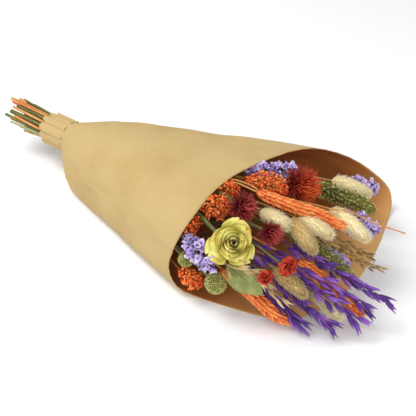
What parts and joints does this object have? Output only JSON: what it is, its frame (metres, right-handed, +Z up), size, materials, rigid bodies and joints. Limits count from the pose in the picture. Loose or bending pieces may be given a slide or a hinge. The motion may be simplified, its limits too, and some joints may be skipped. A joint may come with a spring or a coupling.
{
  "type": "dried flower bouquet",
  "caption": "Mixed dried flower bouquet in an open kraft paper sleeve, lying on its back, with the cut stems out of the tied neck and the heads out of the wide slanting mouth",
  "frame": {"origin": "on the flat underside of the sleeve, near the middle of its length", "axes": "+X runs along the bunch from the cut stems to the flower heads, +Z is up, away from the table, and +Y is across the sleeve"},
  "size_m": [0.542, 0.2732, 0.1103],
  "materials": {
    "kraft": "uncoated kraft paper, light tan outside and darker where it folds",
    "twine": "dull natural twine",
    "rose": "dry matt petals, yellow-green with tan edges",
    "leaf": "dry olive leaf with a soft sheen",
    "statice": "papery lavender florets",
    "buds": "matt orange buds",
    "crimson": "matt dark red bracts",
    "bunny": "soft cream hairs",
    "wheat": "dyed orange ears, slightly shiny",
    "oat": "dyed purple husks, slightly shiny",
    "green_spike": "dry olive bristles",
    "green_ball": "fine dry green bristles",
    "red": "crumpled dry red petals",
    "husk": "dry straw husks",
    "brown": "dry brown grass",
    "orange": "thin dyed orange stem",
    "reed": "dry dark green stem"
  },
  "bodies": {
    "root": {"kraft_sleeve": "kraft", "paper_cuff": "kraft", "tie": "twine", "rose": "rose", "rose_leaf": "leaf", "statice_a": "statice", "statice_b": "statice", "statice_c": "statice", "statice_d": "statice", "statice_e": "statice", "statice_f": "statice", "buds_a": "buds", "buds_b": "buds", "buds_c": "buds", "buds_d": "buds", "buds_e": "buds", "crimson_a": "crimson", "crimson_b": "crimson", "crimson_c": "crimson", "bunny_tail_a": "bunny", "bunny_tail_b": "bunny", "bunny_tail_c": "bunny", "bunny_tail_d": "bunny", "bunny_tail_e": "bunny", "bunny_tail_f": "bunny", "bunny_tail_g": "bunny", "wheat_a": "wheat", "wheat_b": "wheat", "wheat_c": "wheat", "oat_a": "oat", "oat_b": "oat", "oat_c": "oat", "oat_d": "oat", "oat_e": "oat", "green_spike_a": "green_spike", "green_spike_b": "green_spike", "green_ball_a": "green_ball", "green_ball_b": "green_ball", "red_rose_a": "red", "red_rose_b": "red", "oat_husk": "husk", "brown_grass_a": "brown", "brown_grass_b": "brown", "orange_strand": "orange", "reed_a": "reed", "reed_b": "reed"}
  },
  "joints": []
}
